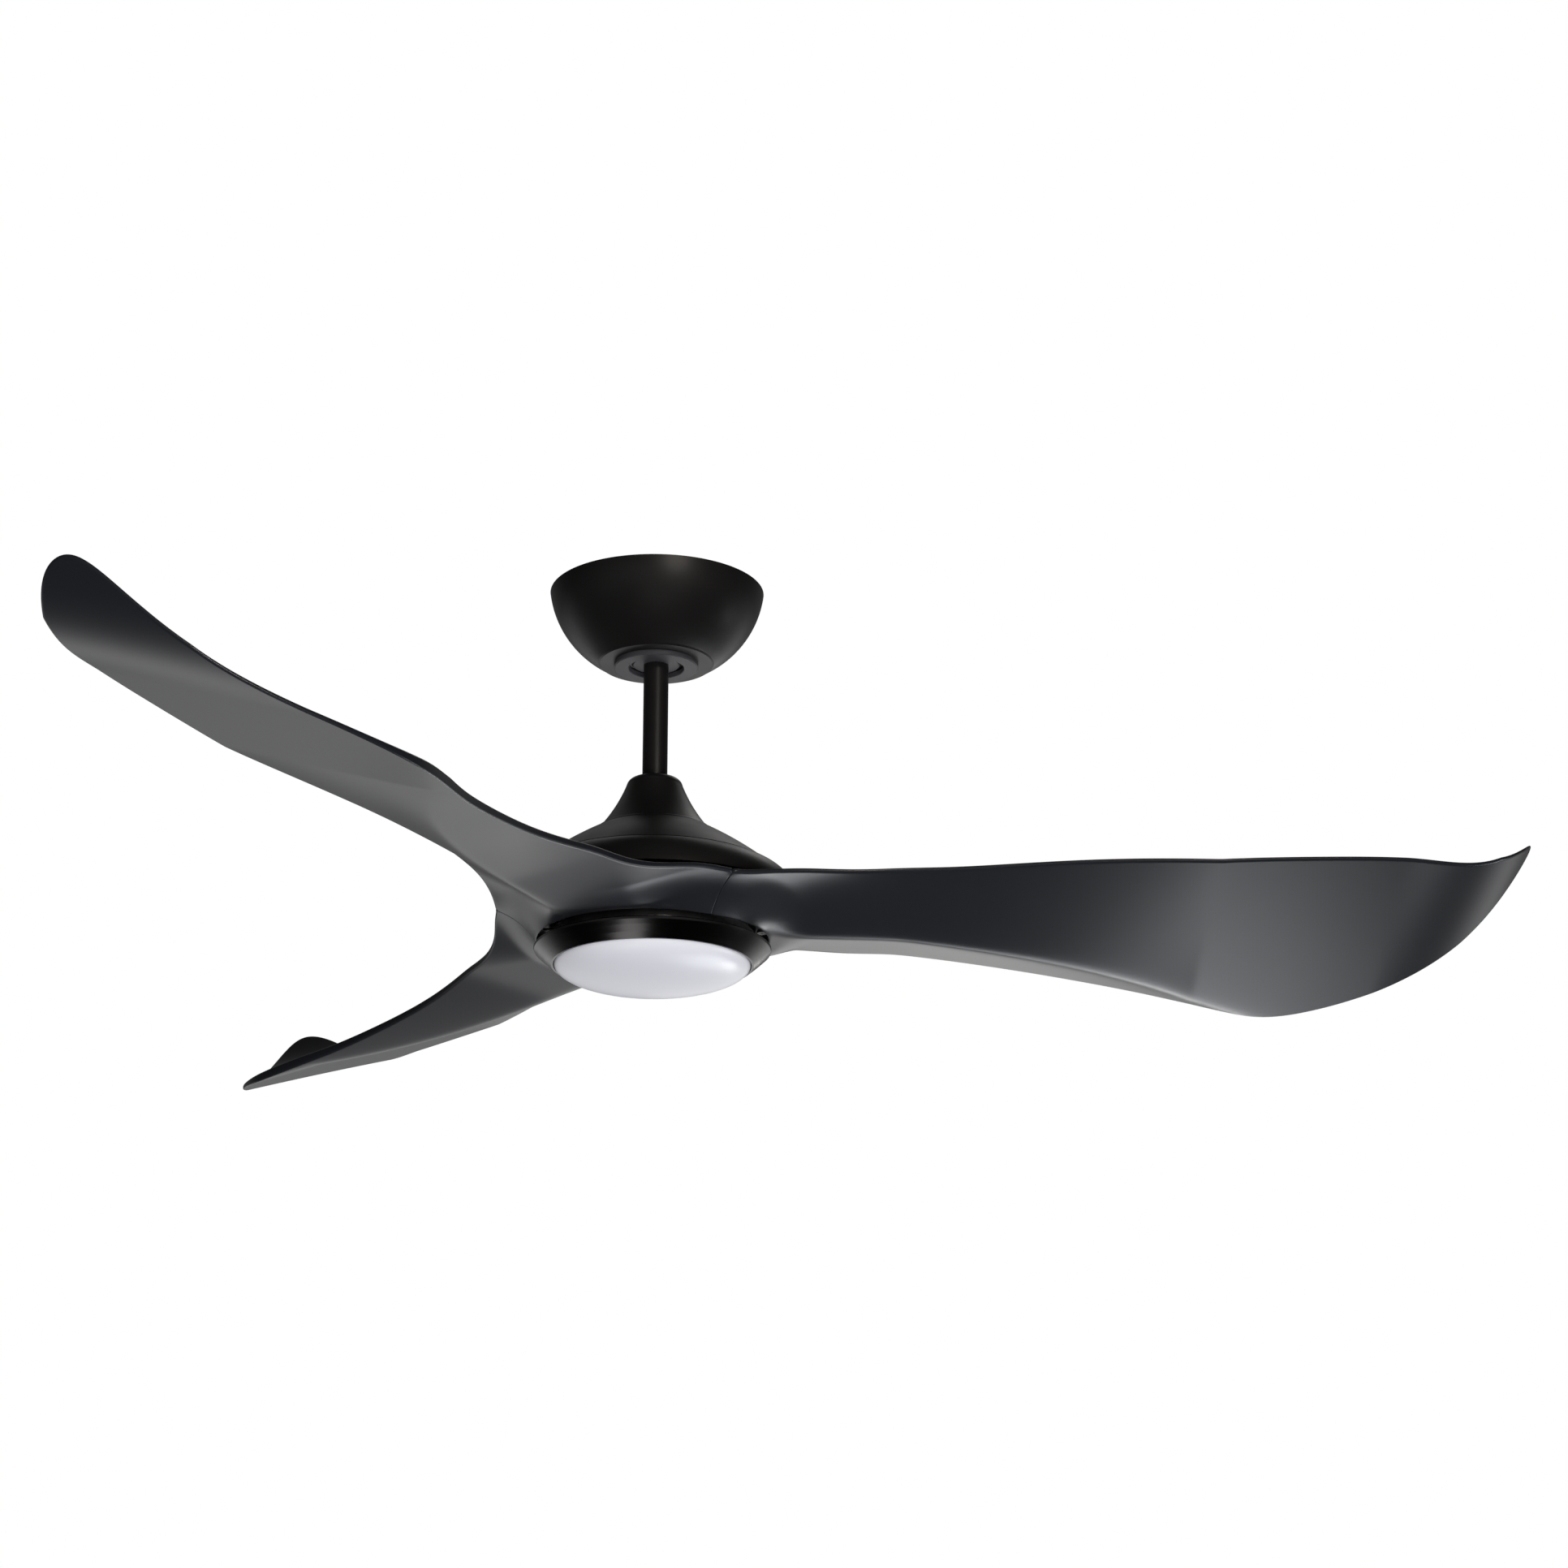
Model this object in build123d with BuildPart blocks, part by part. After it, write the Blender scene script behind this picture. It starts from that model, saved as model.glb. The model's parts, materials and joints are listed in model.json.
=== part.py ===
from build123d import *
import math
import os

os.makedirs("parts", exist_ok=True)

# Frame: the origin is on the fan's axis in the plane of the ceiling, +Z up.
# Blade 1 points along +X, and the other two follow every 120 degrees.

# ---------------------------------------------------------------- driving dimensions (mm)
sweep_diameter = 1524.0          # 60 inch fan
blade_count = 3

canopy_radius = 95.0
canopy_flat_radius = 51.0        # flat ring at the bottom of the bowl
canopy_flat_z = -67.2
canopy_sheet = 1.2
canopy_rim_z = -1.0
trim_radius = 37.2
trim_bottom_z = -71.5
trim_hole_radius = 24.5

ball_radius = 28.0
ball_z = -49.0
ball_play = 0.05                 # running clearance of the ball in its seat
rod_radius = 11.0
rod_wall = 2.0
rod_top_z = -26.0
rod_bottom_z = -212.0
pin_radius = 3.0

cover_top_z = -175.0
cover_bottom_z = -221.0
cover_bottom_radius = 47.5
cap_radius = 104.0
cap_bottom_z = -258.7

shaft_radius = 10.0
shaft_bore_radius = 6.0
bearing_width = 12.0
bearing_outer_radius = 21.0
bearing_pitch_radius = 15.5
bearing_ball_radius = 3.0
upper_bearing_z = -268.0
lower_bearing_z = -303.0

rotor_top_z = -262.5
rotor_flange_z = -306.0          # blades seat against this face
yoke_inner_radius = 79.0
yoke_outer_radius = 84.0
air_gap = 0.8
magnet_thickness = 5.0
stator_slots = 12

waist_radius = 135.7             # edge of the hub midway between two blades
hub_inner_radius = 100.0         # edge of the hub round the light
hub_inner_z = -324.0
root_top_z = -290.6
blade_screw_radius = 94.0

bezel_radius = 102.4
bezel_top_z = -328.6
lip_radius = 85.3
lip_z = -344.0
lens_radius = 84.5
lens_rim_z = -343.0
lens_depth = 20.4
lens_wall = 2.0

half = 0.5


# ---------------------------------------------------------------- small helpers
def turn(*points, mode=Mode.ADD):
    """Turn a closed outline of (radius, height) points about the fan's axis."""
    with BuildSketch(Plane.XZ) as outline:
        with BuildLine():
            Polyline(*points, close=True)
        make_face()
    revolve(outline.sketch, axis=Axis.Z, mode=mode)


def ring(outer, inner, bottom, top, mode=Mode.ADD):
    """A flat ring or tube about the fan's axis; inner 0 gives a disc."""
    with BuildSketch(Plane.XY.offset(bottom)) as outline:
        Circle(outer)
        if inner > 0:
            Circle(inner, mode=Mode.SUBTRACT)
    extrude(outline.sketch, amount=top - bottom, mode=mode)


def rods_on_circle(circle, radius, count, bottom, top, start=0.0, mode=Mode.ADD):
    """Round rods, or with Mode.SUBTRACT round holes, spaced evenly on a circle."""
    with BuildSketch(Plane.XY.offset(bottom)) as outline:
        with PolarLocations(circle, count, start_angle=start):
            Circle(radius)
    extrude(outline.sketch, amount=top - bottom, mode=mode)


def holes_on_circle(circle, radius, count, bottom, top, start=0.0):
    rods_on_circle(circle, radius, count, bottom, top, start, Mode.SUBTRACT)


def screws_on_circle(circle, count, shank, head, head_bottom, head_top, tip, start=0.0):
    """Pan head screws driven upwards, one solid each, with a cross-shaped recess in the head."""
    rods_on_circle(circle, head, count, head_bottom, head_top, start)
    rods_on_circle(circle, shank, count, head_top, tip, start)
    with BuildSketch(Plane.XY.offset(head_bottom)) as recess:
        with PolarLocations(circle, count, start_angle=start):
            Rectangle(head * 1.2, head * 0.3)
            Rectangle(head * 0.3, head * 1.2)
    extrude(recess.sketch, amount=(head_top - head_bottom) * half, mode=Mode.SUBTRACT)


def save(piece, name):
    piece.part.label = name
    export_step(piece.part, f"parts/{name}.step")


# ---------------------------------------------------------------- ceiling bracket and canopy
plate_sheet = 2.5
slot_spacing = 80.0
slot_length = 18.0
slot_half_width = 2.6
arm_outer_y = 36.5
arm_half_width = 15.0
seat_top_z = -63.5
seat_bottom_z = canopy_flat_z + canopy_sheet
canopy_screw_radius = 30.5
tab_half_width = 2.5
tab_inner_y = 20.7
tab_outer_y = 26.5

with BuildPart() as hanger_bracket:
    with BuildSketch(Plane.XY.offset(-plate_sheet)):
        RectangleRounded(130, 36, 8)
        RectangleRounded(44, 2 * arm_outer_y, 3)
        with GridLocations(slot_spacing, 0, 2, 1):
            SlotOverall(slot_length, 2 * slot_half_width, mode=Mode.SUBTRACT)
        Circle(9, mode=Mode.SUBTRACT)
    extrude(amount=plate_sheet)
    with BuildSketch(Plane.XY.offset(seat_bottom_z)):
        with Locations((0, arm_outer_y - plate_sheet * half), (0, plate_sheet * half - arm_outer_y)):
            Rectangle(2 * arm_half_width, plate_sheet)
    extrude(amount=-seat_bottom_z - plate_sheet)
    with BuildSketch(Plane.XY.offset(seat_bottom_z)):
        RectangleRounded(64, 2 * arm_outer_y, 6)
    extrude(amount=seat_top_z - seat_bottom_z)
    with Locations((0, 0, ball_z)):
        Sphere(ball_radius + ball_play, mode=Mode.SUBTRACT)
    with BuildSketch(Plane.XY.offset(seat_bottom_z)):
        with Locations((0, (tab_inner_y + tab_outer_y) * half)):
            Rectangle(2 * tab_half_width, tab_outer_y - tab_inner_y)
    extrude(amount=seat_top_z - seat_bottom_z)
    holes_on_circle(canopy_screw_radius, 2.0, 2, seat_bottom_z, seat_top_z, start=90)
    with Locations((-58, 0, -plate_sheet * half)):
        Cylinder(2.0, plate_sheet, mode=Mode.SUBTRACT)
save(hanger_bracket, "hanger_bracket")

with BuildPart() as ground_screw:
    with Locations((-58, 0, -plate_sheet - 1.2)):
        Cylinder(4.0, 2.4)
    with Locations((-58, 0, -plate_sheet * half)):
        Cylinder(2.0, plate_sheet)
    with Locations((-58, 0, -plate_sheet - 2.4)):
        Box(6, 1, 1.6, mode=Mode.SUBTRACT)
save(ground_screw, "ground_screw")

with BuildPart() as receiver_box:
    with Locations((0, 0, -12.5)):
        Box(104, 46, 16)
    fillet(receiver_box.edges().filter_by(Axis.Z), 4)
    with BuildSketch(Plane.YZ.offset(52)):
        with GridLocations(8, 0, 4, 1):
            with Locations((0, -12.5)):
                Circle(1.6)
    extrude(amount=6)
save(receiver_box, "receiver_box")

with BuildPart() as canopy:
    with BuildSketch(Plane.XZ):
        with BuildLine():
            wall_outer = ThreePointArc((canopy_radius, canopy_rim_z), (80.9, -38.2),
                                       (canopy_flat_radius, canopy_flat_z + 1.2))
            lip_out = Line(wall_outer @ 1, (canopy_flat_radius - 1.2, canopy_flat_z))
            floor_out = Line(lip_out @ 1, (trim_hole_radius + 1.5, canopy_flat_z))
            hole_edge = Line(floor_out @ 1, (trim_hole_radius + 1.5, canopy_flat_z + canopy_sheet))
            floor_in = Line(hole_edge @ 1, (canopy_flat_radius - 1.8, canopy_flat_z + canopy_sheet))
            wall_inner = ThreePointArc(floor_in @ 1, (79.8, -37.4),
                                       (canopy_radius - canopy_sheet, canopy_rim_z))
            Line(wall_inner @ 1, wall_outer @ 0)
        make_face()
    revolve(axis=Axis.Z)
    holes_on_circle(canopy_screw_radius, 2.2, 2, canopy_flat_z, seat_bottom_z, start=90)
save(canopy, "canopy")

with BuildPart() as canopy_screws:
    screws_on_circle(canopy_screw_radius, 2, 2.0, 3.8, canopy_flat_z - 2.4, canopy_flat_z,
                     seat_top_z + 2, start=90)
save(canopy_screws, "canopy_screws")

with BuildPart() as canopy_trim_ring:
    turn((trim_hole_radius, trim_bottom_z + 0.6), (trim_hole_radius + 0.6, trim_bottom_z),
         (trim_radius - 1.0, trim_bottom_z), (trim_radius, trim_bottom_z + 1.0),
         (trim_radius, canopy_flat_z), (trim_radius - 1.6, canopy_flat_z),
         (trim_radius - 1.6, trim_bottom_z + 1.6), (trim_hole_radius + 1.2, trim_bottom_z + 1.6),
         (trim_hole_radius + 1.2, canopy_flat_z), (trim_hole_radius, canopy_flat_z))
save(canopy_trim_ring, "canopy_trim_ring")

# ---------------------------------------------------------------- ball, downrod and coupler
ball_top_z = ball_z + 19.0
ball_bottom_z = ball_z - 19.5
ball_pin_z = ball_z + 7.0
slot_floor_y = 15.0              # leaves the ball room to tilt past the bracket's tab
slot_mouth_y = 33.0
coupler_radius = 17.0
coupler_top_z = -184.0
coupler_seat_z = -216.0
coupler_flange_z = -225.0
coupler_bottom_z = -244.0
coupler_pin_z = -198.0
set_screw_heights = (-190.0, -206.0)

with BuildPart() as hanger_ball:
    with Locations((0, 0, ball_z)):
        Sphere(ball_radius)
    split(bisect_by=Plane.XY.offset(ball_top_z), keep=Keep.BOTTOM)
    split(bisect_by=Plane.XY.offset(ball_bottom_z), keep=Keep.TOP)
    ring(rod_radius, 0, ball_bottom_z, ball_top_z, mode=Mode.SUBTRACT)
    with Locations((0, (slot_floor_y + slot_mouth_y) * half, ball_z)):
        Box(2 * tab_half_width + 0.6, slot_mouth_y - slot_floor_y, 60, mode=Mode.SUBTRACT)
    with Locations(Location((0, 0, ball_pin_z), (0, 90, 0))):
        Cylinder(pin_radius, 80, mode=Mode.SUBTRACT)
save(hanger_ball, "hanger_ball")

with BuildPart() as ball_pin:
    with Locations(Location((0, 0, ball_pin_z), (0, 90, 0))):
        Cylinder(pin_radius, 48)
    chamfer(ball_pin.edges().filter_by(GeomType.CIRCLE), 0.6)
save(ball_pin, "ball_pin")

with BuildPart() as downrod:
    ring(rod_radius, rod_radius - rod_wall, rod_bottom_z, rod_top_z)
    with Locations(Location((0, 0, ball_pin_z), (0, 90, 0)), Location((0, 0, coupler_pin_z), (90, 0, 0))):
        Cylinder(pin_radius, 60, mode=Mode.SUBTRACT)
save(downrod, "downrod")

with BuildPart() as lead_wires:
    with BuildSketch(Plane.XY.offset(rod_bottom_z)):
        with Locations((5, 5), (-5, 5), (5, -5), (-5, -5)):
            Circle(1.3)
    extrude(amount=rod_top_z - rod_bottom_z - 6)
save(lead_wires, "lead_wires")

with BuildPart() as rod_coupler:
    turn((rod_radius, coupler_top_z), (coupler_radius, coupler_top_z), (coupler_radius, coupler_flange_z),
         (30, coupler_flange_z), (30, coupler_flange_z - 6), (coupler_radius, coupler_flange_z - 6),
         (coupler_radius, coupler_bottom_z), (shaft_radius, coupler_bottom_z),
         (shaft_radius, coupler_seat_z), (rod_radius, coupler_seat_z))
    with Locations(Location((0, 0, coupler_pin_z), (90, 0, 0))):
        Cylinder(pin_radius, 60, mode=Mode.SUBTRACT)
    with Locations([Location((14, 0, z), (0, 90, 0)) for z in set_screw_heights]):
        Cylinder(2.5, 8, mode=Mode.SUBTRACT)
    holes_on_circle(24, 2.0, 3, coupler_flange_z - 6, coupler_flange_z, start=30)
save(rod_coupler, "rod_coupler")

with BuildPart() as coupler_pin:
    with Locations(Location((0, 0, coupler_pin_z), (90, 0, 0))):
        Cylinder(pin_radius, 48)
    with Locations(Location((0, -25, coupler_pin_z), (90, 0, 0))):
        Cylinder(5, 2)
    with Locations((0, 21, coupler_pin_z)):
        Cylinder(0.9, 10, mode=Mode.SUBTRACT)
save(coupler_pin, "coupler_pin")

with BuildPart() as coupler_clip:
    with Locations((0, 21, coupler_pin_z)):
        Cylinder(0.9, 12)
    with Locations(Location((0, 21, coupler_pin_z + 8), (0, 90, 0))):
        Torus(2.6, 0.9)
save(coupler_clip, "coupler_clip")

with BuildPart() as coupler_set_screws:
    with Locations([Location((14.5, 0, z), (0, 90, 0)) for z in set_screw_heights]):
        Cylinder(2.5, 7)
    with Locations([Location((17.5, 0, z), (0, 90, 0)) for z in set_screw_heights]):
        Cylinder(1.2, 4, mode=Mode.SUBTRACT)
save(coupler_set_screws, "coupler_set_screws")

cover_sheet = 1.4
with BuildPart() as coupling_cover:
    with BuildSketch(Plane.XZ):
        with BuildLine():
            crown = Line((rod_radius + 0.6, cover_top_z), (17.5, cover_top_z))
            shoulder = ThreePointArc(crown @ 1, (22.2, cover_top_z - 2.1), (24.6, cover_top_z - 6.5))
            flare = ThreePointArc(shoulder @ 1, (34.3, -201.8), (cover_bottom_radius, cover_bottom_z))
            foot = Line(flare @ 1, (cover_bottom_radius - cover_sheet * 1.3, cover_bottom_z))
            flare_in = ThreePointArc(foot @ 1, (32.7, -202.5), (23.2, cover_top_z - 7))
            shoulder_in = ThreePointArc(flare_in @ 1, (21.2, cover_top_z - 3.2), (17.5, cover_top_z - 1.5))
            crown_in = Line(shoulder_in @ 1, (rod_radius + 0.6, cover_top_z - 1.5))
            Line(crown_in @ 1, crown @ 0)
        make_face()
    revolve(axis=Axis.Z)
save(coupling_cover, "coupling_cover")

with BuildPart() as rod_grommet:
    turn((rod_radius, cover_top_z + 0.4), (rod_radius + 0.6, cover_top_z + 0.4),
         (rod_radius + 0.6, cover_top_z - 1.5), (rod_radius + 2, cover_top_z - 1.5),
         (rod_radius + 2, cover_top_z - 3), (rod_radius, cover_top_z - 3))
save(rod_grommet, "rod_grommet")

# ---------------------------------------------------------------- motor: fixed parts
stator_outer_radius = yoke_inner_radius - magnet_thickness - air_gap
stator_top_z = -275.0
stator_bottom_z = -299.0
stator_hub_radius = 29.0
tooth_width = 9.0
shaft_bottom_z = -324.0

with BuildPart() as motor_cap:
    with BuildSketch(Plane.XZ):
        with BuildLine():
            deck = Line((coupler_radius + 0.5, -223.4), (44, -223.4))
            riser = Line(deck @ 1, (45, -221.6))
            bead = ThreePointArc(riser @ 1, (48.6, -221.4), (51.0, -223.6))
            dome = ThreePointArc(bead @ 1, (78.6, -240.2), (cap_radius, cap_bottom_z))
            edge = Line(dome @ 1, (cap_radius - 1.0, cap_bottom_z - 1.2))
            dome_in = ThreePointArc(edge @ 1, (77.6, -242.0), (50.0, -225.0))
            deck_in = Line(dome_in @ 1, (coupler_radius + 0.5, coupler_flange_z))
            Line(deck_in @ 1, deck @ 0)
        make_face()
    revolve(axis=Axis.Z)
    holes_on_circle(24, 2.2, 3, coupler_flange_z, -223.4, start=30)
save(motor_cap, "motor_cap")

with BuildPart() as cap_screws:
    rods_on_circle(24, 2.0, 3, coupler_flange_z - 6, -223.4, start=30)
    rods_on_circle(24, 3.8, 3, -223.4, -221.0, start=30)
save(cap_screws, "cap_screws")

with BuildPart() as motor_shaft:
    ring(shaft_radius, shaft_bore_radius, shaft_bottom_z, coupler_seat_z)
save(motor_shaft, "motor_shaft")

with BuildPart() as stator_hub:
    ring(stator_hub_radius, shaft_radius, -296.0, -276.0)
    with BuildSketch(Plane.XY.offset(-296.0)):
        with PolarLocations(20, 6):
            Circle(4)
    extrude(amount=20, mode=Mode.SUBTRACT)
save(stator_hub, "stator_hub")

with BuildPart() as stator_core:
    with BuildSketch(Plane.XY.offset(stator_bottom_z)):
        Circle(40)
        with PolarLocations(52, stator_slots):
            Rectangle(36, tooth_width)
        with BuildSketch(mode=Mode.PRIVATE) as tooth_tips:
            Circle(stator_outer_radius)
            Circle(stator_outer_radius - 4, mode=Mode.SUBTRACT)
            with PolarLocations(stator_outer_radius - 2, stator_slots, start_angle=180 / stator_slots):
                Rectangle(9, 6, mode=Mode.SUBTRACT)
        add(tooth_tips.sketch)
        Circle(stator_hub_radius, mode=Mode.SUBTRACT)
    extrude(amount=stator_top_z - stator_bottom_z)
save(stator_core, "stator_core")

with BuildPart() as stator_coils:
    with BuildSketch(Plane.XY.offset(stator_bottom_z - 3)):
        with PolarLocations(54, stator_slots):
            RectangleRounded(24, tooth_width + 7, 3)
    extrude(amount=stator_top_z - stator_bottom_z + 6)
    with BuildSketch(Plane.XY.offset(stator_bottom_z)):
        with PolarLocations(54, stator_slots):
            Rectangle(30, tooth_width)
    extrude(amount=stator_top_z - stator_bottom_z, mode=Mode.SUBTRACT)
save(stator_coils, "stator_coils")


def bearing_race(middle, inner, outer):
    """A turned race with a ball groove, centred at one height."""
    ring(outer, inner, middle - bearing_width * half, middle + bearing_width * half)
    groove_radius = bearing_ball_radius + 0.05
    with Locations((0, 0, middle)):
        Torus(bearing_pitch_radius, groove_radius, mode=Mode.SUBTRACT)


with BuildPart() as upper_bearing_inner:
    bearing_race(upper_bearing_z, shaft_radius, bearing_pitch_radius - 1.5)
save(upper_bearing_inner, "upper_bearing_inner")

with BuildPart() as lower_bearing_inner:
    bearing_race(lower_bearing_z, shaft_radius, bearing_pitch_radius - 1.5)
save(lower_bearing_inner, "lower_bearing_inner")

# ---------------------------------------------------------------- motor: turning parts
rotor_web = 3.0
rotor_hub_radius = 27.0
rotor_skirt_radius = 126.5
rotor_skirt_z = -287.0

with BuildPart() as upper_bearing_outer:
    bearing_race(upper_bearing_z, bearing_pitch_radius + 1.5, bearing_outer_radius)
save(upper_bearing_outer, "upper_bearing_outer")

with BuildPart() as lower_bearing_outer:
    bearing_race(lower_bearing_z, bearing_pitch_radius + 1.5, bearing_outer_radius)
save(lower_bearing_outer, "lower_bearing_outer")

with BuildPart() as bearing_balls:
    for middle in (upper_bearing_z, lower_bearing_z):
        with Locations((0, 0, middle)):
            with PolarLocations(bearing_pitch_radius, 9):
                Sphere(bearing_ball_radius)
save(bearing_balls, "bearing_balls")

with BuildPart() as rotor_housing:
    turn((bearing_outer_radius, rotor_top_z), (cap_radius - 1.5, rotor_top_z),
         (cap_radius - 1.5, rotor_top_z - rotor_web), (rotor_hub_radius, rotor_top_z - rotor_web),
         (rotor_hub_radius, upper_bearing_z - bearing_width * half),
         (bearing_outer_radius, upper_bearing_z - bearing_width * half))
    with BuildSketch(Plane.XZ):
        with BuildLine():
            brim = Line((cap_radius - 1.5, rotor_top_z), (cap_radius + 0.9, cap_bottom_z - 0.8))
            shell = ThreePointArc(brim @ 1, (118.6, -268.6), (rotor_skirt_radius, rotor_skirt_z))
            hem = Line(shell @ 1, (rotor_skirt_radius - rotor_web, rotor_skirt_z))
            shell_in = ThreePointArc(hem @ 1, (116.0, -270.8), (cap_radius - 1.5, rotor_top_z - rotor_web))
            Line(shell_in @ 1, brim @ 0)
        make_face()
    revolve(axis=Axis.Z)
    ring(yoke_outer_radius, yoke_inner_radius, rotor_flange_z, rotor_top_z - rotor_web)
    ring(104, yoke_outer_radius, rotor_flange_z, rotor_flange_z + 5)
    holes_on_circle(blade_screw_radius, 2.5, 9, rotor_flange_z, rotor_flange_z + 5)
    holes_on_circle(81.5, 1.5, 6, rotor_flange_z, rotor_flange_z + 8)
save(rotor_housing, "rotor_housing")

with BuildPart() as rotor_end_plate:
    ring(yoke_outer_radius - 0.4, bearing_outer_radius, rotor_flange_z - 3, rotor_flange_z)
    ring(rotor_hub_radius, bearing_outer_radius, rotor_flange_z - 3, lower_bearing_z + bearing_width * half)
    holes_on_circle(81.5, 1.6, 6, rotor_flange_z - 3, rotor_flange_z)
    holes_on_circle(55, 8, 6, rotor_flange_z - 3, rotor_flange_z, start=30)
save(rotor_end_plate, "rotor_end_plate")

with BuildPart() as end_plate_screws:
    screws_on_circle(81.5, 6, 1.5, 2.4, rotor_flange_z - 4.8, rotor_flange_z - 3, rotor_flange_z + 6)
save(end_plate_screws, "end_plate_screws")

magnet_count = 16
with BuildPart() as rotor_magnets:
    ring(yoke_inner_radius, yoke_inner_radius - magnet_thickness, stator_bottom_z, stator_top_z)
    with BuildSketch(Plane.XY.offset(stator_bottom_z)):
        with PolarLocations(yoke_inner_radius - magnet_thickness * half, magnet_count):
            Rectangle(magnet_thickness + 2, 1.5)
    extrude(amount=stator_top_z - stator_bottom_z, mode=Mode.SUBTRACT)
save(rotor_magnets, "rotor_magnets")

# ---------------------------------------------------------------- blades
# Along a blade, r is the distance out from the axis and t the distance across, positive
# towards the trailing edge. The underside is two smooth faces that meet in one narrow ridge:
# the main face climbs to the leading edge, and the flatter heel face reaches the trailing edge.
# Towards the seams between the blades both faces turn into the bowl of the hub.
tip_start = 640.0
tip_length = 120.0
heel_start = 211.0
main_end = 480.0
seam_angle = 180 / blade_count
leading_root_angle = 54.0        # how far from a seam the hub's bowl reaches into a blade
trailing_root_angle = 40.0
root_width = 40.0
bowl_floor_z = -287.0
bowl_depth = 37.0
bowl_curl = 24.0
ridge_softness = 5.0
valley_softness = 6.0
root_blend = 0.08                # rounds the turn of the main face at heel_start
heel_blend = 8.0


def ease(x):
    x = min(max(x, 0.0), 1.0)
    return x * x * (3 - 2 * x)


def hub_height(rho):
    """Underside of the bowl-shaped hub at a radius."""
    return bowl_floor_z - bowl_depth * math.exp((hub_inner_radius - rho) / bowl_curl)


def main_face(r, t):
    tip = max(0.0, (r - tip_start) / tip_length)
    outward = max(0.0, (main_end - r) / (main_end - heel_start))
    inward = 1 - 0.35 * min((heel_start - r) / 100, 1.0)
    root = (outward + inward) * half - math.hypot((outward - inward) * half, root_blend) + root_blend * half
    root = max(0.0, root)
    middle = -326 + 0.063 * (r - heel_start) - 8 * root + 46 * tip ** 3.4
    pitch = 0.34 + 0.34 * root ** 1.1 - 0.15 * tip ** 1.6
    return middle - pitch * t


def heel_face(r, t):
    out = (r - heel_start) * half + math.hypot((r - heel_start) * half, heel_blend)
    return -322 - 0.103 * out + (0.15 - 0.0004 * out) * t


def blade_share(r, t):
    """1 where the surface is all blade, 0 where it is all hub."""
    rho = math.hypot(r, t)
    angle = abs(math.degrees(math.atan2(t, r)))
    reach = trailing_root_angle + (leading_root_angle - trailing_root_angle) * ease(0.5 - t / 80)
    near_seam = 1 - ease((seam_angle - angle) / reach)
    return 1 - near_seam * (1 - ease((rho - 170) / 90))


def rooted(r, t, face):
    """A blade face that starts from the hub's inner edge and turns into the hub's bowl."""
    rho = math.hypot(r, t)
    grown = hub_inner_z + (face(r, t) - hub_inner_z) * ease((rho - hub_inner_radius) / root_width)
    share = blade_share(r, t)
    return share * grown + (1 - share) * hub_height(rho)


def joined_faces(r, t, softness):
    low = rooted(r, t, main_face)
    high = rooted(r, t, heel_face)
    return (low + high) * half + math.hypot((low - high) * half, softness)


def underside(r, t):
    return joined_faces(r, t, ridge_softness * blade_share(r, t))


def topside(r, t):
    rho = math.hypot(r, t)
    share = blade_share(r, t)
    trailing = ease((t + 100) / 200) * (1 - ease((r - 380) / 260)) * ease((rho - 140) / 60)
    skin = 4.4 - 1.0 * ease((rho - 140) / 60) + 3.0 * trailing
    blade_top = joined_faces(r, t, valley_softness * share) + skin
    root_top = root_top_z - 0.35 * max(0.0, rho - 130)
    return (blade_top + root_top) * half + math.hypot((blade_top - root_top) * half, 0.5) - 0.5


def blade_surface(height):
    """A smooth face through a grid of heights, reaching past the blade's outline on all sides."""
    columns = [40 + 20 * i for i in range(39)]
    rows = [-160 + 16 * i for i in range(21)]
    grid = [[(r, t, height(r, t)) for t in rows] for r in columns]
    return Face.make_surface_from_array_of_points(grid, tol=0.05)


def polar_point(radius, angle):
    return (radius * math.cos(math.radians(angle)), radius * math.sin(math.radians(angle)))


def waist_point(angle):
    return polar_point(waist_radius, angle)


tip_reach = sweep_diameter * half
leading_edge = [(106, -100), (211, -79), (306, -84), (390, -92),
                (478, -95), (566, -91), (655, -81), (725, -64)]
trailing_edge = [(713, 58), (652, 100), (593, 127), (545, 134), (507, 125), (437, 101),
                 (372, 85), (290, 73), (207, 73), (158, 79), (127, 89), (98, 103)]
tip_points = [(tip_reach - 7, -38), (tip_reach, -9), (tip_reach - 14, 21)]

lower_tool = extrude(blade_surface(underside), amount=200, dir=(0, 0, 1))
upper_tool = extrude(blade_surface(topside), amount=200, dir=(0, 0, -1))

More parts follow.
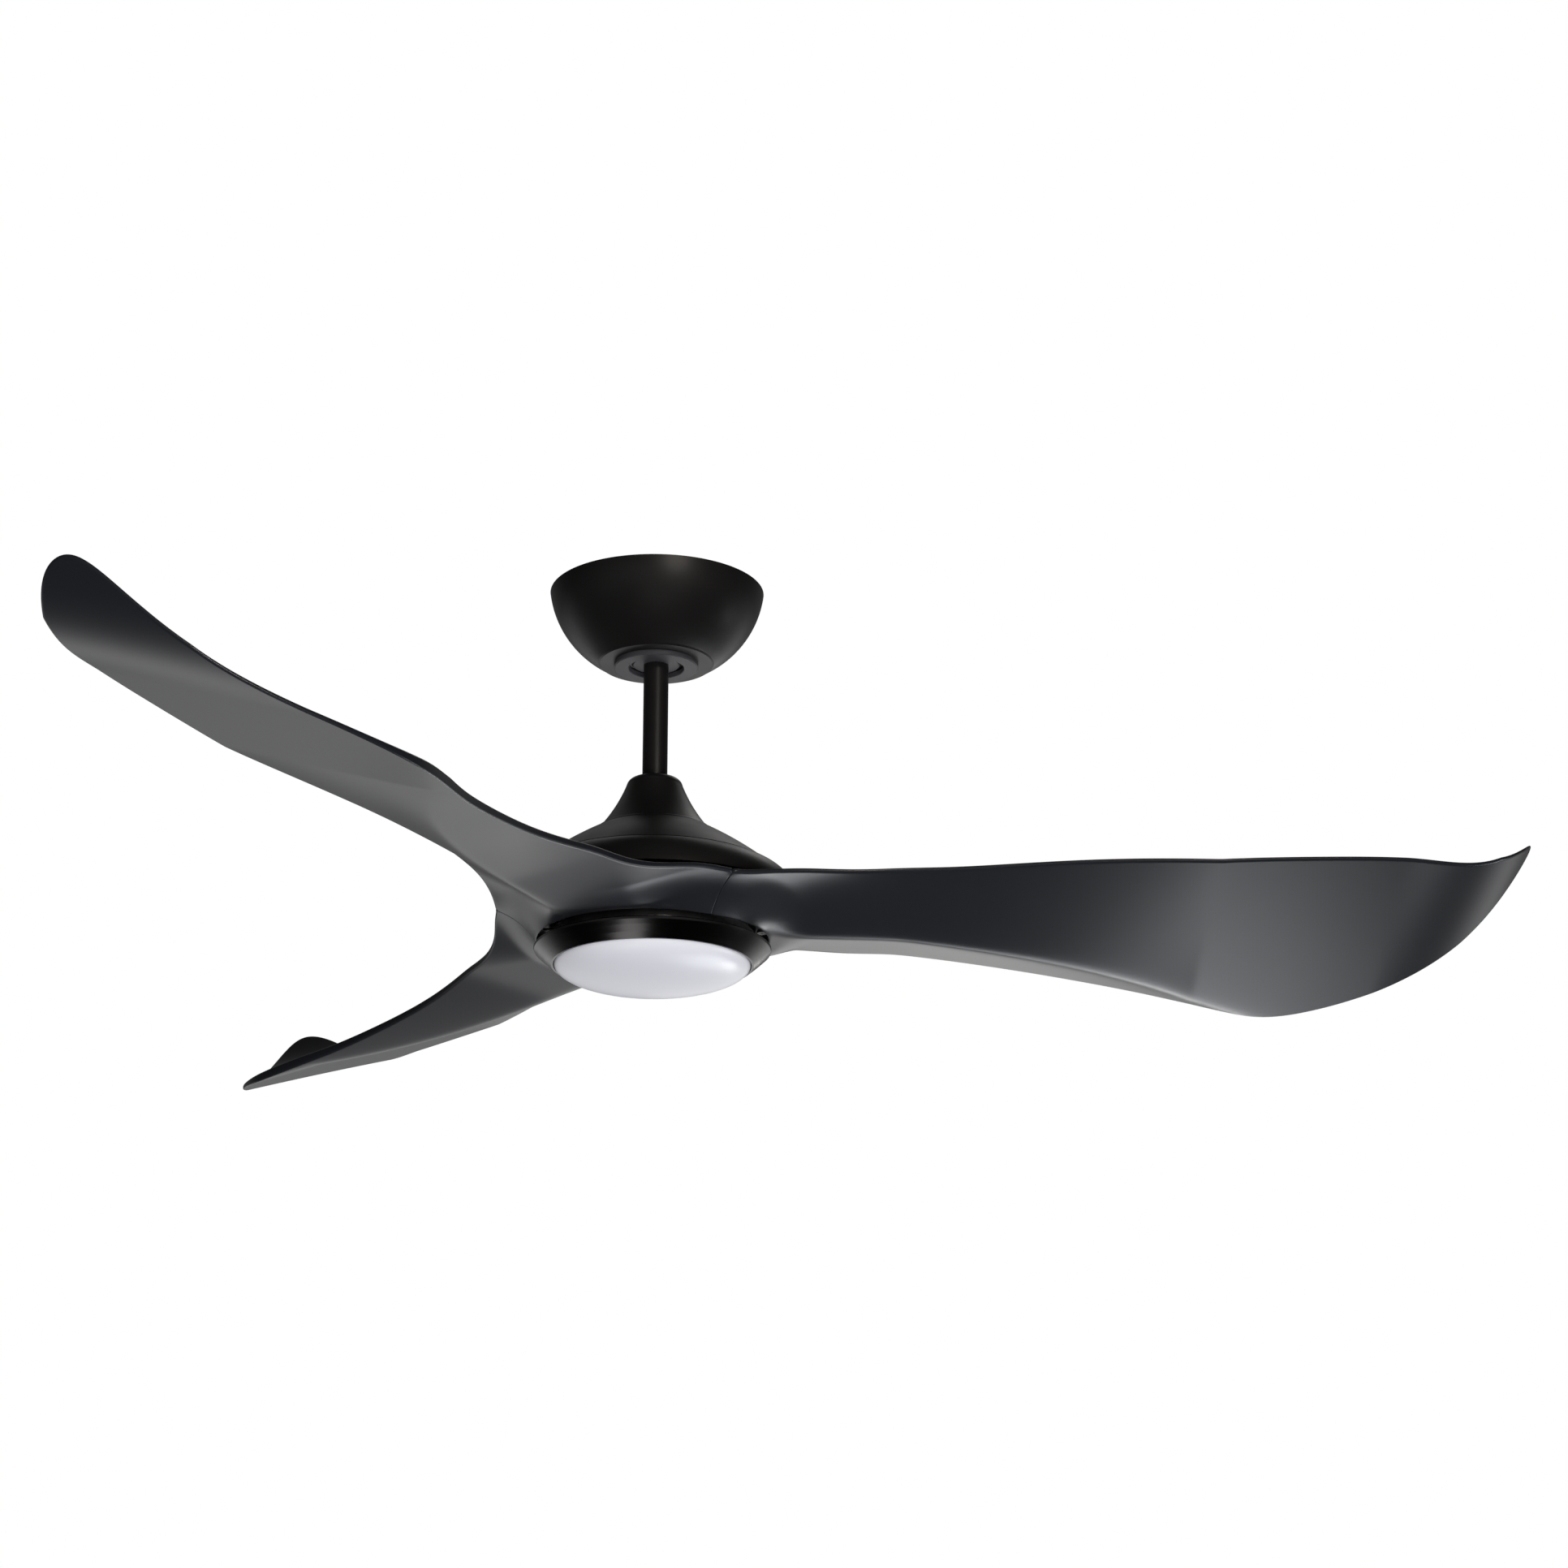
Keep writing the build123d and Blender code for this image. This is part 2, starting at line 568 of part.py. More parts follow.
with BuildPart() as blade_blank:
    with BuildSketch(Plane.XY.offset(-372)):
        with BuildLine():
            outline = Spline(waist_point(-seam_angle), *leading_edge, *tip_points, *trailing_edge,
                             waist_point(seam_angle))
            seam = Line(outline @ 1, polar_point(hub_inner_radius, seam_angle))
            rim = ThreePointArc(seam @ 1, (hub_inner_radius, 0), polar_point(hub_inner_radius, -seam_angle))
            Line(rim @ 1, outline @ 0)
        make_face()
    extrude(amount=160)
    add(lower_tool, mode=Mode.INTERSECT)
    add(upper_tool, mode=Mode.INTERSECT)
    ring(hub_inner_radius + 6, 0, rotor_flange_z, root_top_z + 20, mode=Mode.SUBTRACT)
    with BuildSketch(Plane.XY.offset(rotor_flange_z - 6)):
        with BuildLine():
            Line((0, 0), waist_point(-seam_angle + 1))
            CenterArc((0, 0), waist_radius, -seam_angle + 1, 2 * seam_angle - 2)
            Line(waist_point(seam_angle - 1), (0, 0))
        make_face()
        Circle(hub_inner_radius + 3, mode=Mode.INTERSECT)
        Circle(yoke_outer_radius + 0.2, mode=Mode.SUBTRACT)
    extrude(amount=6)
    with BuildSketch(Plane.XY.offset(rotor_flange_z - 6)):
        with PolarLocations(blade_screw_radius, 9):
            Circle(2.7)
    extrude(amount=6, mode=Mode.SUBTRACT)

for number in range(blade_count):
    with BuildPart() as blade:
        with Locations(Location((0, 0, 0), (0, 0, number * 360 / blade_count))):
            add(blade_blank.part)
    save(blade, f"blade_{number + 1}")

with BuildPart() as blade_screws:
    screws_on_circle(blade_screw_radius, 9, 2.5, 4.4, rotor_flange_z - 8.4, rotor_flange_z - 6,
                     rotor_flange_z + 4)
save(blade_screws, "blade_screws")

# ---------------------------------------------------------------- light kit
pan_top_z = -317.0
pan_sheet = 1.5
pan_flange_z = -331.5
pan_radius = 88.0
bezel_screw_radius = 91.5
ledge_hole_radius = 82.6
lug_radius = 85.6
board_z = -333.6

with BuildPart() as light_pan:
    turn((shaft_radius, pan_top_z), (pan_radius, pan_top_z), (pan_radius, pan_flange_z + pan_sheet),
         (98, pan_flange_z + pan_sheet), (98, pan_flange_z), (pan_radius - pan_sheet, pan_flange_z),
         (pan_radius - pan_sheet, pan_top_z - pan_sheet), (shaft_radius, pan_top_z - pan_sheet))
    holes_on_circle(bezel_screw_radius, 1.5, 6, pan_flange_z, pan_flange_z + pan_sheet)
    holes_on_circle(35, 3, 4, pan_top_z - pan_sheet, pan_top_z, start=45)
save(light_pan, "light_pan")

with BuildPart() as light_nut:
    with BuildSketch(Plane.XY.offset(pan_top_z - pan_sheet - 5)):
        RegularPolygon(16, 6)
        Circle(shaft_radius, mode=Mode.SUBTRACT)
    extrude(amount=5)
save(light_nut, "light_nut")

with BuildPart() as led_driver:
    with Locations((0, 44, -324.0)):
        Box(92, 40, 11)
    fillet(led_driver.edges().filter_by(Axis.Z), 3)
    with Locations((0, 44, -330.2)):
        Box(60, 26, 1.4)
save(led_driver, "led_driver")

with BuildPart() as board_posts:
    with BuildSketch(Plane.XY.offset(board_z)):
        with Locations((64, -30), (-64, -30), (0, -70), (72, 8), (-72, 8)):
            Circle(3)
    extrude(amount=pan_top_z - pan_sheet - board_z)
save(board_posts, "board_posts")

with BuildPart() as led_board:
    ring(78, 6, board_z - 1.6, board_z)
save(led_board, "led_board")

with BuildPart() as led_chips:
    with BuildSketch(Plane.XY.offset(board_z - 2.6)):
        for circle, count in ((68, 24), (50, 18), (30, 10)):
            with PolarLocations(circle, count):
                Rectangle(3.5, 2.8)
    extrude(amount=1.0)
save(led_chips, "led_chips")

with BuildPart() as bezel_ring:
    turn((98.2, bezel_top_z), (101.6, bezel_top_z), (bezel_radius, bezel_top_z - 0.9),
         (bezel_radius - 0.6, -331.2), (98.2, -334.6), (92.6, -339.6), (87.2, lip_z), (lip_radius, lip_z),
         (lip_radius, lip_z + 2.0), (90.6, -338.8), (95.4, -334.6), (95.4, pan_flange_z - pan_sheet),
         (ledge_hole_radius, pan_flange_z - pan_sheet), (ledge_hole_radius, pan_flange_z),
         (98.2, pan_flange_z))
    holes_on_circle(bezel_screw_radius, 1.6, 6, pan_flange_z - pan_sheet, pan_flange_z)
    with BuildSketch(Plane.XY.offset(pan_flange_z - pan_sheet)):
        with PolarLocations(ledge_hole_radius, 3, start_angle=30):
            Rectangle(8, 20)
    extrude(amount=pan_sheet, mode=Mode.SUBTRACT)
save(bezel_ring, "bezel_ring")

with BuildPart() as bezel_screws:
    screws_on_circle(bezel_screw_radius, 6, 1.5, 2.6, pan_flange_z - pan_sheet - 1.8,
                     pan_flange_z - pan_sheet, pan_flange_z + pan_sheet + 1)
save(bezel_screws, "bezel_screws")

with BuildPart() as lens_diffuser:
    with BuildSketch(Plane.XZ):
        with BuildLine():
            EllipticalCenterArc((0, lens_rim_z), lens_radius, lens_depth,
                                start_angle=270, arc_size=90)
            rim = Line((lens_radius, lens_rim_z), (82.0, lens_rim_z + 1.5))
            collar_out = Line(rim @ 1, (82.0, pan_flange_z + 2.4))
            collar_top = Line(collar_out @ 1, (80.0, pan_flange_z + 2.4))
            Line(collar_top @ 1, (80.0, lens_rim_z))
            EllipticalCenterArc((0, lens_rim_z), 80.0, lens_depth - lens_wall,
                                start_angle=270, arc_size=90)
            Line((0, lens_rim_z - lens_depth + lens_wall), (0, lens_rim_z - lens_depth))
        make_face()
    revolve(axis=Axis.Z)
    with BuildSketch(Plane.XY.offset(pan_flange_z + 0.3)):
        with BuildSketch(mode=Mode.PRIVATE) as lug_band:
            Circle(lug_radius)
            Circle(81, mode=Mode.SUBTRACT)
            with BuildSketch(mode=Mode.PRIVATE) as lug_strips:
                with PolarLocations(83, 3):
                    Rectangle(12, 14)
            add(lug_strips.sketch, mode=Mode.INTERSECT)
        add(lug_band.sketch)
    extrude(amount=1.8)
save(lens_diffuser, "lens_diffuser")
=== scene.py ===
import json
import math

import bpy
import numpy as np
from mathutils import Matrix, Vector


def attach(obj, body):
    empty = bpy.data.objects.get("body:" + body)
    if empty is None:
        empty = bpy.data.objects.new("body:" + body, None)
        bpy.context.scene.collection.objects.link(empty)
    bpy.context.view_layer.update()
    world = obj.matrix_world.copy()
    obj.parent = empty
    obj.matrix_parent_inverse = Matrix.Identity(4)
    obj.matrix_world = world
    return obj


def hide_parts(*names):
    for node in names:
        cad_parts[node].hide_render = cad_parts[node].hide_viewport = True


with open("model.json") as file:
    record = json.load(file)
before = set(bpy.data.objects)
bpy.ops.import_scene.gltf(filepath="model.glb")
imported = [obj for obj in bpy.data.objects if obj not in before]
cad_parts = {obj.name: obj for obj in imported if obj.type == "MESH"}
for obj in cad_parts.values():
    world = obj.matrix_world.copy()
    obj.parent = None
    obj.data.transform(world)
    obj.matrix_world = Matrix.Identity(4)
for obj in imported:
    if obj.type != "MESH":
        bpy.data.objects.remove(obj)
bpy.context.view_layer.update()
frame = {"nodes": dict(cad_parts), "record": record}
nodes = frame["nodes"]


# ---------------------------------------------------------------- materials
ROUGH_TO_COLOUR_SCALE = 2.6


def node(tree, kind, **values):
    made = tree.nodes.new(kind)
    for key, value in values.items():
        if key in made.inputs:
            made.inputs[key].default_value = value
        else:
            setattr(made, key, value)
    return made


def noise(tree, scale, detail=3.0, stretch=(1, 1, 1)):
    """Noise in the object's own frame, in features per metre; stretch squeezes it along an axis."""
    place = node(tree, "ShaderNodeTexCoord")
    mapping = node(tree, "ShaderNodeMapping")
    mapping.inputs["Scale"].default_value = stretch
    tree.links.new(place.outputs["Object"], mapping.inputs["Vector"])
    made = node(tree, "ShaderNodeTexNoise", Scale=scale, Detail=detail)
    tree.links.new(mapping.outputs["Vector"], made.inputs["Vector"])
    return made.outputs["Fac"]


def spread(tree, fac, low, high, start=0.3, end=0.7):
    """Turns a 0 to 1 field into a number that runs from low to high."""
    made = node(tree, "ShaderNodeMapRange")
    made.inputs["From Min"].default_value = start
    made.inputs["From Max"].default_value = end
    made.inputs["To Min"].default_value = low
    made.inputs["To Max"].default_value = high
    tree.links.new(fac, made.inputs["Value"])
    return made.outputs["Result"]


def finish(name, colour, shade, rough, bump=0.0, bump_scale=1500.0, vary_scale=9.0,
           stretch=(1, 1, 1), **sockets):
    """A finish whose colour runs from colour to shade, whose roughness is a (low, high) pair,
    and whose surface has a fine bump of the given height in metres."""
    material = bpy.data.materials.new(name)
    material.use_nodes = True
    tree = material.node_tree
    surface = tree.nodes["Principled BSDF"]
    for key, value in sockets.items():
        surface.inputs[key.replace("_", " ")].default_value = value
    mix = node(tree, "ShaderNodeMix", data_type="RGBA")
    mix.inputs["A"].default_value = (*colour, 1)
    mix.inputs["B"].default_value = (*shade, 1)
    colour_field = noise(tree, vary_scale, 4.0, stretch)
    tree.links.new(spread(tree, colour_field, 0.0, 1.0), mix.inputs["Factor"])
    tree.links.new(mix.outputs["Result"], surface.inputs["Base Color"])
    rough_field = noise(tree, vary_scale * ROUGH_TO_COLOUR_SCALE, 5.0, stretch)
    tree.links.new(spread(tree, rough_field, *rough), surface.inputs["Roughness"])
    if bump > 0:
        relief = node(tree, "ShaderNodeBump", Strength=1.0, Distance=bump)
        tree.links.new(noise(tree, bump_scale, 2.0, stretch), relief.inputs["Height"])
        tree.links.new(relief.outputs["Normal"], surface.inputs["Normal"])
    return material


FINISHES = {
    "black_paint": finish("satin_black_paint", (0.0075, 0.0070, 0.0068), (0.0105, 0.0098, 0.0095),
                          (0.36, 0.44), bump=0.00002, bump_scale=900.0),
    "blade_plastic": finish("satin_charcoal_moulding", (0.0125, 0.0135, 0.0165),
                            (0.0140, 0.0150, 0.0180), (0.30, 0.32), bump=0.00001,
                            bump_scale=1400.0, vary_scale=3.0),
    "bezel_metal": finish("black_nickel", (0.085, 0.082, 0.081), (0.095, 0.092, 0.091), (0.20, 0.22),
                          vary_scale=4.0, Metallic=1.0),
    "lens_opal": finish("opal_lens", (0.80, 0.80, 0.85), (0.81, 0.81, 0.86), (0.30, 0.32),
                        vary_scale=4.0),
    "steel": finish("zinc_plated_steel", (0.50, 0.50, 0.50), (0.60, 0.59, 0.57), (0.28, 0.45),
                    Metallic=1.0),
    "cast_alloy": finish("cast_alloy", (0.52, 0.53, 0.54), (0.62, 0.62, 0.63), (0.45, 0.6),
                         bump=0.0001, Metallic=1.0),
    "lamination": finish("stacked_laminations", (0.22, 0.22, 0.23), (0.36, 0.36, 0.37), (0.35, 0.5),
                         bump=0.0001, bump_scale=60.0, stretch=(1, 1, 40), Metallic=1.0),
    "copper": finish("enamelled_copper", (0.42, 0.14, 0.06), (0.56, 0.21, 0.09), (0.2, 0.3),
                     bump=0.0003, bump_scale=220.0, stretch=(1, 1, 5), Metallic=0.9),
    "magnet": finish("plated_magnet", (0.25, 0.25, 0.26), (0.33, 0.33, 0.34), (0.2, 0.3),
                     Metallic=1.0),
    "bearing_steel": finish("ground_steel", (0.60, 0.60, 0.61), (0.68, 0.68, 0.69), (0.1, 0.18),
                            Metallic=1.0),
    "nylon": finish("black_nylon", (0.045, 0.044, 0.048), (0.055, 0.054, 0.058), (0.42, 0.5), bump=0.00003),
    "receiver_plastic": finish("white_abs", (0.72, 0.72, 0.70), (0.78, 0.78, 0.76), (0.4, 0.5), bump=0.00004),
    "wire": finish("pvc_wire", (0.60, 0.60, 0.58), (0.70, 0.70, 0.68), (0.35, 0.45), bump=0.00003),
    "rubber_black": finish("black_rubber", (0.02, 0.02, 0.02), (0.03, 0.03, 0.03), (0.6, 0.7), bump=0.00005),
    "board_white": finish("white_board", (0.78, 0.78, 0.76), (0.84, 0.84, 0.82), (0.3, 0.4)),
    "led_yellow": finish("led_phosphor", (0.80, 0.62, 0.10), (0.85, 0.70, 0.16), (0.25, 0.35)),
    "ground_green": finish("green_screw", (0.04, 0.25, 0.07), (0.06, 0.32, 0.10), (0.25, 0.4), Metallic=0.6),
}

for row in frame["record"]["subparts"]:
    slots = nodes[row["node"]].material_slots
    for place in slots:
        place.link = "OBJECT"
        place.material = FINISHES[row["material_slot"]]


# ---------------------------------------------------------------- blades
# The blades are moulded shells with rounded edges. r runs out from the fan's axis and t across
# the blade, positive towards the trailing edge, both in millimetres, as the design gives them.
MM = 0.001
BLADE_COUNT = 3
SEAM_ANGLE = math.pi / BLADE_COUNT
SEAM_GAP = 0.25
HUB_INNER_RADIUS = 100.0
HUB_INNER_Z = -324.0
WAIST_RADIUS = 135.7
ROOT_TOP_Z = -290.6
FLANGE_Z = -306.0
FLANGE_THICKNESS = 6.0
FLANGE_INNER_RADIUS = 84.2
EDGE_ROUND = 1.6
RIM_ROUND = 1.2
SEAM_ROUND = 0.5
RIDGE_SOFTNESS = 1.6
VALLEY_SOFTNESS = 6.0
HEEL_START = 211.0
MAIN_END = 480.0
TIP_START = 640.0
TIP_LENGTH = 120.0
ROOT_BLEND = 0.08
HEEL_BLEND = 8.0
BOWL_FLOOR_Z = -287
BOWL_DEPTH = 37
BOWL_CURL = 24
ROOT_WIDTH = 40
LEADING_ROOT_ANGLE = 54
TRAILING_ROOT_ANGLE = 40
LEAST_THICKNESS = 0.05
FLANGE_STEPS = 60
INNER_SEAM_STEPS = 300
CURVE_STEPS = 4000
SHORT_CURVE_STEPS = 400
LEADING_EDGE = [(106, -100), (211, -79), (306, -84), (390, -92),
                (478, -95), (566, -91), (655, -81), (725, -64)]
TIP = [(725, -64), (755, -38), (762, -9), (748, 21), (713, 58)]
TRAILING_EDGE = [(713, 58), (652, 100), (593, 127), (545, 134), (507, 125), (437, 101),
                 (372, 85), (290, 73), (207, 73), (158, 79), (127, 89), (98, 103)]
EDGE_STEPS = (0.0, 0.12, 0.4, 0.85, 1.5, 2.4, 3.6, 5.4)


def ease(x):
    x = np.clip(x, 0.0, 1.0)
    return x * x * (3 - 2 * x)


def hub_height(rho):
    """Underside of the bowl-shaped hub at a radius."""
    return BOWL_FLOOR_Z - BOWL_DEPTH * np.exp((HUB_INNER_RADIUS - rho) / BOWL_CURL)


def main_face(r, t):
    """The face that climbs to the leading edge and turns up at the tip."""
    tip = np.maximum(0.0, (r - TIP_START) / TIP_LENGTH)
    outward = np.maximum(0.0, (MAIN_END - r) / (MAIN_END - HEEL_START))
    inward = 1 - 0.35 * np.minimum((HEEL_START - r) / 100, 1.0)
    root = (outward + inward) / 2 - np.hypot((outward - inward) / 2, ROOT_BLEND) + ROOT_BLEND / 2
    root = np.maximum(0.0, root)
    middle = -326 + 0.063 * (r - HEEL_START) - 8 * root + 46 * tip ** 3.4
    return middle - (0.34 + 0.34 * root ** 1.1 - 0.15 * tip ** 1.6) * t


def heel_face(r, t):
    """The flatter face that reaches the trailing edge."""
    out = (r - HEEL_START) / 2 + np.hypot((r - HEEL_START) / 2, HEEL_BLEND)
    return -322 - 0.103 * out + (0.15 - 0.0004 * out) * t


def blade_share(r, t):
    """1 where the surface is all blade, 0 where it is all hub."""
    angle = np.degrees(np.abs(np.arctan2(t, r)))
    reach = TRAILING_ROOT_ANGLE + (LEADING_ROOT_ANGLE - TRAILING_ROOT_ANGLE) * ease(0.5 - t / 80)
    near_seam = 1 - ease((60 - angle) / reach)
    return 1 - near_seam * (1 - ease((np.hypot(r, t) - 170) / 90))


def joined_faces(r, t, softness):
    """The main and heel faces, rooted in the hub and joined by a ridge of the given softness."""
    rho = np.hypot(r, t)
    share = blade_share(r, t)
    grown = ease((rho - HUB_INNER_RADIUS) / ROOT_WIDTH)
    bowl = (1 - share) * hub_height(rho)
    low, high = (share * (HUB_INNER_Z + (face(r, t) - HUB_INNER_Z) * grown) + bowl
                 for face in (main_face, heel_face))
    return (low + high) / 2 + np.hypot((low - high) / 2, softness * share)


def topside(r, t):
    rho = np.hypot(r, t)
    trailing = ease((t + 100) / 200) * (1 - ease((r - 380) / 260)) * ease((rho - 140) / 60)
    skin = 4.4 - 1.0 * ease((rho - 140) / 60) + 3.0 * trailing
    blade_top = joined_faces(r, t, VALLEY_SOFTNESS) + skin
    root_top = ROOT_TOP_Z - 0.35 * np.maximum(0.0, rho - 130)
    top = (blade_top + root_top) / 2 + np.hypot((blade_top - root_top) / 2, 0.5) - 0.5
    return np.where(rho < HUB_INNER_RADIUS + 6, FLANGE_Z, top)


def smooth_curve(points, count, first=None, last=None):
    """A cubic spline through the points, evenly sampled; first and last are end directions."""
    points = np.array(points, float)
    steps = np.hypot(*np.diff(points, axis=0).T)
    place = np.concatenate([[0], np.cumsum(steps)])
    n = len(points)
    matrix = np.zeros((n, n))
    wanted = np.zeros((n, 2))
    for i in range(1, n - 1):
        matrix[i, i - 1:i + 2] = 1 / steps[i - 1], 2 / steps[i - 1] + 2 / steps[i], 1 / steps[i]
        wanted[i] = 3 * ((points[i] - points[i - 1]) / steps[i - 1] ** 2
                         + (points[i + 1] - points[i]) / steps[i] ** 2)
    for row, near, step, given in ((0, 1, 0, first), (n - 1, n - 2, -1, last)):
        matrix[row, row] = 1
        if given is not None:
            wanted[row] = given
        else:
            matrix[row, row], matrix[row, near] = 2, 1
            side = (points[near] - points[row]) * (1 if row == 0 else -1)
            wanted[row] = 3 * side / steps[step]
    slope = np.linalg.solve(matrix, wanted)
    fine = np.linspace(0, place[-1], CURVE_STEPS)
    k = np.clip(np.searchsorted(place, fine, side="right") - 1, 0, n - 2)
    x = ((fine - place[k]) / steps[k])[:, None]
    h = steps[k][:, None]
    curve = ((2 * x ** 3 - 3 * x ** 2 + 1) * points[k] + (x ** 3 - 2 * x ** 2 + x) * h * slope[k]
             + (3 * x ** 2 - 2 * x ** 3) * points[k + 1] + (x ** 3 - x ** 2) * h * slope[k + 1])
    length = np.concatenate([[0], np.cumsum(np.hypot(*np.diff(curve, axis=0).T))])
    return even(curve, length, np.linspace(0, 1, count))


def even(curve, length, shares):
    """Points at the given shares of a curve's length."""
    at = np.asarray(shares) * length[-1]
    return np.stack([np.interp(at, length, curve[:, 0]), np.interp(at, length, curve[:, 1])], axis=-1)


def polar(radius, angle):
    return np.array([radius * math.cos(angle), radius * math.sin(angle)])


def blade_boundary():
    """The four sides of a blade in the (r, t) plane: leading, trailing, hub and tip."""
    edge = SEAM_ANGLE - SEAM_GAP / WAIST_RADIUS
    seams = {}
    for side in (-1, 1):
        waist = polar(WAIST_RADIUS, side * edge)
        rest = LEADING_EDGE if side < 0 else TRAILING_EDGE[::-1]
        direction = np.array([math.sin(edge), side * -math.cos(edge)])
        outer = smooth_curve([waist, *rest], CURVE_STEPS, first=direction)
        inner = np.linspace(polar(HUB_INNER_RADIUS, side * edge), waist, INNER_SEAM_STEPS)[:-1]
        seams[side] = np.vstack([inner, outer])
    hub = np.array([polar(HUB_INNER_RADIUS, a) for a in np.linspace(-edge, edge, SHORT_CURVE_STEPS)])
    tip = smooth_curve(TIP, SHORT_CURVE_STEPS)
    return seams[-1], seams[1], hub, tip


def measured(curve):
    """A curve and its length so far at each point."""
    return curve, np.concatenate([[0], np.cumsum(np.hypot(*np.diff(curve, axis=0).T))])


def blade_grid(stations, across):
    """Points of a four-sided patch over the blade's outline, closer together along its edges."""
    leading, trailing, hub, tip = (measured(c) for c in blade_boundary())
    length = leading[1][-1]
    fine = np.array(EDGE_STEPS)
    middle = np.linspace(fine[-1] / length, 1 - fine[-1] / length, stations)[1:-1]
    ends = np.concatenate([fine / length, middle, 1 - fine[::-1] / length])
    rows = []
    for u in ends:
        left, right = even(*leading, u), even(*trailing, u)
        width = np.hypot(*(right - left))
        middle = np.linspace(fine[-1] / width, 1 - fine[-1] / width, across)[1:-1]
        v = np.concatenate([fine / width, middle, 1 - fine[::-1] / width])[:, None]
        straight = (1 - v) * left + v * right
        ends_part = (1 - u) * even(*hub, v[:, 0]) + u * even(*tip, v[:, 0])
        corners = ((1 - u) * ((1 - v) * hub[0][0] + v * hub[0][-1])
                   + u * ((1 - v) * tip[0][0] + v * tip[0][-1]))
        rows.append(straight + ends_part - corners)
    return np.array(rows)


def rounded_off(distance, radius):
    """How far an edge of this radius falls back at a distance in from the outline."""
    x = np.clip(1 - distance / radius, 0, 1)
    return radius * (1 - np.sqrt(1 - x * x))


def distance_to(points, curve):
    """How far each point is from a curve, measured to the curve's segments."""
    flat = points.reshape(-1, 2)
    best = np.zeros(len(flat))
    start, along = curve[:-1], np.diff(curve, axis=0)
    for part in np.array_split(np.arange(len(flat)), 60):
        gap = flat[part][:, None, :] - start[None, :, :]
        share = np.clip((gap * along).sum(-1) / (along ** 2).sum(-1), 0, 1)[..., None]
        best[part] = np.hypot(*np.moveaxis(gap - share * along, -1, 0)).min(1)
    return best.reshape(points.shape[:-1])


def blade_mesh(stations=170, across=64):
    """Vertices in metres and faces of one blade along +X: both sides, rounded edges, root flange."""
    grid = blade_grid(stations, across)
    r, t = grid[..., 0], grid[..., 1]
    leading, trailing, _, tip = blade_boundary()
    first = INNER_SEAM_STEPS - 1
    outline = np.vstack([leading[first::6], tip[1::2], trailing[first::6][::-1]])
    fall = rounded_off(distance_to(grid, outline), EDGE_ROUND)
    rho = np.hypot(r, t)
    angle = np.abs(np.arctan2(t, r))
    to_seam = rho * np.sin(np.clip(SEAM_ANGLE - angle, 0, 1)) - SEAM_GAP
    seam_distance = np.where(rho < WAIST_RADIUS + 3, to_seam, 99)
    fall = np.maximum(fall, rounded_off(np.maximum(seam_distance, 0), SEAM_ROUND))
    fall = np.maximum(fall, rounded_off(rho - HUB_INNER_RADIUS, RIM_ROUND))
    low = joined_faces(r, t, RIDGE_SOFTNESS) + fall
    high = np.maximum(topside(r, t) - fall, low + LEAST_THICKNESS)
    rows, columns = r.shape
    lower = np.stack([r, t, low], -1).reshape(-1, 3)
    upper = np.stack([r, t, high], -1).reshape(-1, 3)
    number = np.arange(rows * columns).reshape(rows, columns)
    a, b, c, d = (number[:-1, :-1], number[1:, :-1], number[1:, 1:], number[:-1, 1:])
    under = np.stack([a, d, c, b], -1).reshape(-1, 4)
    over = np.stack([a, b, c, d], -1).reshape(-1, 4) + rows * columns
    loop = np.concatenate([number[0, :-1], number[:-1, -1], number[-1, :0:-1], number[:0:-1, 0]])
    after = np.roll(loop, -1)
    wall = np.stack([loop, loop + rows * columns, after + rows * columns, after], -1)
    points = np.vstack([lower, upper])
    faces = np.vstack([under, over, wall])
    angles = np.linspace(-SEAM_ANGLE * 0.985, SEAM_ANGLE * 0.985, FLANGE_STEPS)
    flange_bottom = FLANGE_Z - FLANGE_THICKNESS
    section = [(FLANGE_INNER_RADIUS, flange_bottom), (HUB_INNER_RADIUS + 1, flange_bottom),
               (HUB_INNER_RADIUS + 1, FLANGE_Z), (FLANGE_INNER_RADIUS, FLANGE_Z)]
    flange = np.array([(p * math.cos(q), p * math.sin(q), z) for q in angles for p, z in section])
    start = len(points)
    sides = [[start + 4 * i + k, start + 4 * i + 4 + k,
              start + 4 * i + 4 + (k + 1) % 4, start + 4 * i + (k + 1) % 4]
             for i in range(len(angles) - 1) for k in range(4)]
    caps = [[start + 3, start + 2, start + 1, start], [start + 4 * len(angles) - 4 + k for k in range(4)]]
    return np.vstack([points, flange]) * MM, np.vstack([faces, sides, caps])


def make_blades():
    points, faces = blade_mesh()
    for number in range(BLADE_COUNT):
        mesh = bpy.data.meshes.new(f"blade_shell_{number + 1}")
        turn = 2 * math.pi * number / BLADE_COUNT
        spun = points.copy()
        spun[:, 0] = points[:, 0] * math.cos(turn) - points[:, 1] * math.sin(turn)
        spun[:, 1] = points[:, 0] * math.sin(turn) + points[:, 1] * math.cos(turn)
        mesh.from_pydata(spun.tolist(), [], faces.tolist())
        mesh.update()
        mesh.shade_smooth()
        mesh.materials.append(FINISHES["blade_plastic"])
        blade = bpy.data.objects.new(f"blade_shell_{number + 1}", mesh)
        bpy.context.scene.collection.objects.link(blade)
        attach(blade, "rotor")
        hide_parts(f"blade_{number + 1}")


make_blades()


# ---------------------------------------------------------------- stage, light and camera
FLOOR_Z = -6.0
FLOOR_RADIUS = 12.0
ROOM_LEVELS = [(0.0, 0.04), (0.12, 0.04), (0.24, 0.06), (0.31, 0.26), (0.40, 0.38), (0.46, 0.27),
               (0.52, 0.05), (0.75, 0.06), (1.0, 0.4)]      # from straight down to straight up


